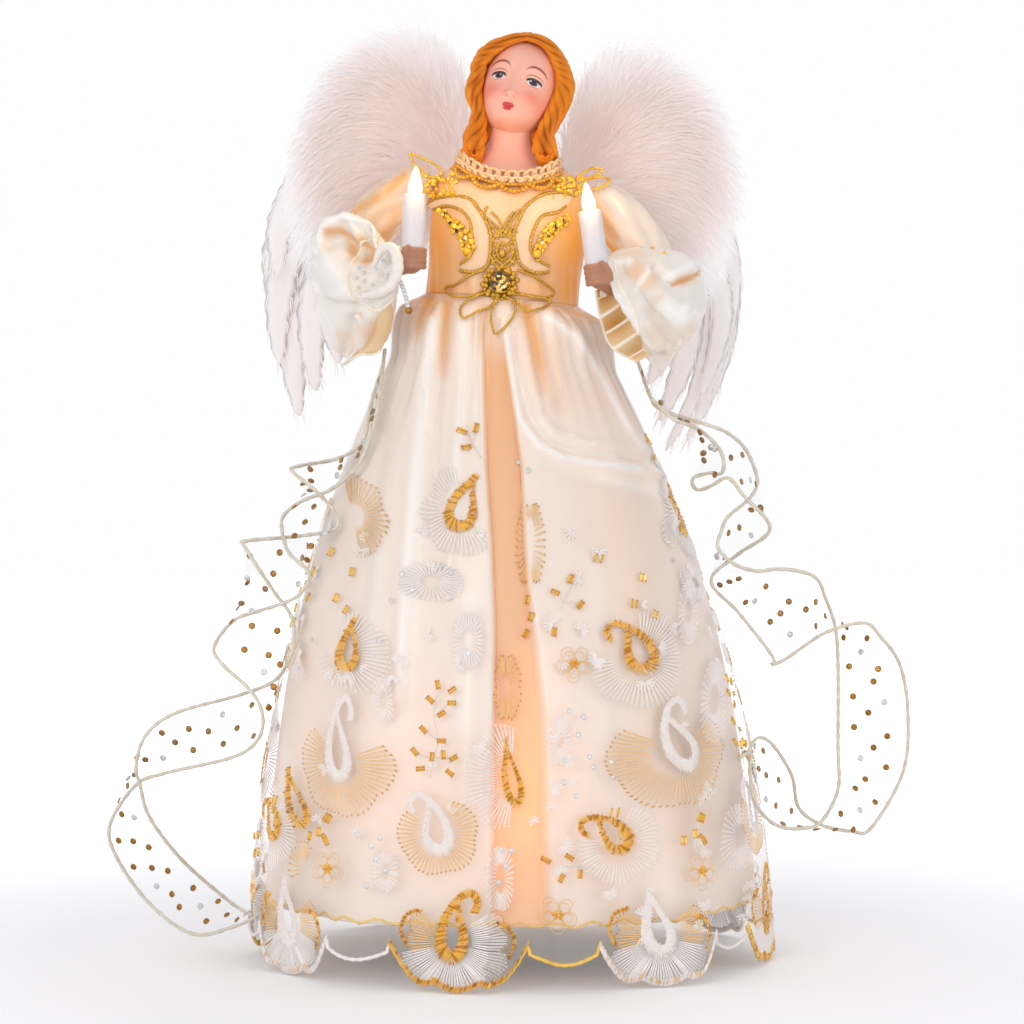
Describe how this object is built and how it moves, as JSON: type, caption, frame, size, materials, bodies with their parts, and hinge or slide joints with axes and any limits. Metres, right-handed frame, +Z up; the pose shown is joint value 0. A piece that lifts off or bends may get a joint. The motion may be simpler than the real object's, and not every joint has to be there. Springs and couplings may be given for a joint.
{
  "type": "angel tree topper",
  "caption": "Lighted angel tree topper: satin and embroidered organza gown over a tapered cone, feather wings, candle lamps and wired ribbon streamers.",
  "frame": {"origin": "on the surface under the scallop tips, at the middle of the part's box", "axes": "+Z up from the hem to the hair, the face looks towards -Y, +X to the viewer's right"},
  "size_m": [0.2645, 0.1701, 0.3075],
  "materials": {
    "cone_card": "plain pale card",
    "stiff_net": "stiff net",
    "satin": "glossy ivory satin",
    "organza": "sheer organza with gold and white embroidery",
    "core_foam": "matte padding",
    "gold_cord": "gold cord and cream satin",
    "gem": "faceted gold jewel",
    "painted_casting": "painted casting",
    "wire": "annealed wire",
    "white_plastic": "white moulded plastic",
    "lead_jacket": "ivory wire jacket",
    "lit_glass": "clear bulb, lit warm",
    "feather": "white marabou down and plumes",
    "ribbon": "sheer ribbon with corded edges and gold spots"
  },
  "bodies": {
    "stand": {"bodice": "satin", "torso_core": "core_foam", "crescent_left": "gold_cord", "shoulder_leaf_left": "gold_cord", "crescent_right": "gold_cord", "shoulder_leaf_right": "gold_cord", "net_column": "gold_cord", "waist_gem": "gem", "waist_flower": "gold_cord", "collar_braid": "gold_cord", "head_casting": "painted_casting", "wing_pad": "core_foam", "tree_cone": "cone_card", "petticoat": "stiff_net", "satin_skirt": "satin", "organza_overlay": "organza", "skirt_lamp_socket_1": "white_plastic", "skirt_lamp_bulb_1": "lit_glass", "skirt_lamp_socket_2": "white_plastic", "skirt_lamp_bulb_2": "lit_glass", "skirt_lamp_socket_3": "white_plastic", "skirt_lamp_bulb_3": "lit_glass", "skirt_lamp_socket_4": "white_plastic", "skirt_lamp_bulb_4": "lit_glass", "skirt_lamp_socket_5": "white_plastic", "skirt_lamp_bulb_5": "lit_glass", "skirt_lamp_socket_6": "white_plastic", "skirt_lamp_bulb_6": "lit_glass", "skirt_lamp_socket_7": "white_plastic", "skirt_lamp_bulb_7": "lit_glass", "skirt_lamp_socket_8": "white_plastic", "skirt_lamp_bulb_8": "lit_glass", "lamp_lead": "lead_jacket", "lead_gland": "white_plastic"},
    "arm_left": {"arm_wire_left": "wire", "upper_sleeve_left": "satin", "cuff_flounce_left": "satin", "candle_tube_left": "white_plastic", "candle_socket_left": "white_plastic", "hand_left": "painted_casting"},
    "bulb_left": {"flame_bulb_left": "lit_glass"},
    "wing_left": {"wing_down_left": "feather", "wing_plumes_left": "feather", "wing_card_left": "cone_card", "wing_wire_left": "wire"},
    "streamer_left": {"streamer_left": "ribbon"},
    "arm_right": {"arm_wire_right": "wire", "upper_sleeve_right": "satin", "cuff_flounce_right": "satin", "candle_tube_right": "white_plastic", "candle_socket_right": "white_plastic", "hand_right": "painted_casting"},
    "bulb_right": {"flame_bulb_right": "lit_glass"},
    "wing_right": {"wing_down_right": "feather", "wing_plumes_right": "feather", "wing_card_right": "cone_card", "wing_wire_right": "wire"},
    "streamer_right": {"streamer_right": "ribbon"}
  },
  "joints": [
    {"name": "arm_raise_left", "type": "hinge", "parent": "stand", "child": "arm_left", "pos_m": [-0.02576, 0.001, 0.25413], "axis": [-0.9962, 0, 0.0872], "range_deg": [0, 25]},
    {"name": "bulb_pull_left", "type": "slide", "parent": "arm_left", "child": "bulb_left", "axis": [0.0349, 0, 0.9994], "range_m": [0, 0.012]},
    {"name": "wing_fold_left", "type": "hinge", "parent": "stand", "child": "wing_left", "pos_m": [-0.00537, 0.02265, 0.24632], "axis": [-0.0872, 0, -0.9962], "range_deg": [0, 35]},
    {"name": "streamer_spread_left", "type": "hinge", "parent": "stand", "child": "streamer_left", "pos_m": [-0.04181, 0, 0.19632], "axis": [0, 1, 0], "range_deg": [0, 15]},
    {"name": "arm_raise_right", "type": "hinge", "parent": "stand", "child": "arm_right", "pos_m": [0.02604, 0.001, 0.2496], "axis": [-0.9962, 0, 0.0872], "range_deg": [0, 25]},
    {"name": "bulb_pull_right", "type": "slide", "parent": "arm_right", "child": "bulb_right", "axis": [-0.1392, 0, 0.9903], "range_m": [0, 0.012]},
    {"name": "wing_fold_right", "type": "hinge", "parent": "stand", "child": "wing_right", "pos_m": [0.0046, 0.02265, 0.24545], "axis": [0.0872, 0, 0.9962], "range_deg": [0, 35]},
    {"name": "streamer_spread_right", "type": "hinge", "parent": "stand", "child": "streamer_right", "pos_m": [0.03795, 0, 0.1887], "axis": [0, -1, 0], "range_deg": [0, 15]}
  ]
}
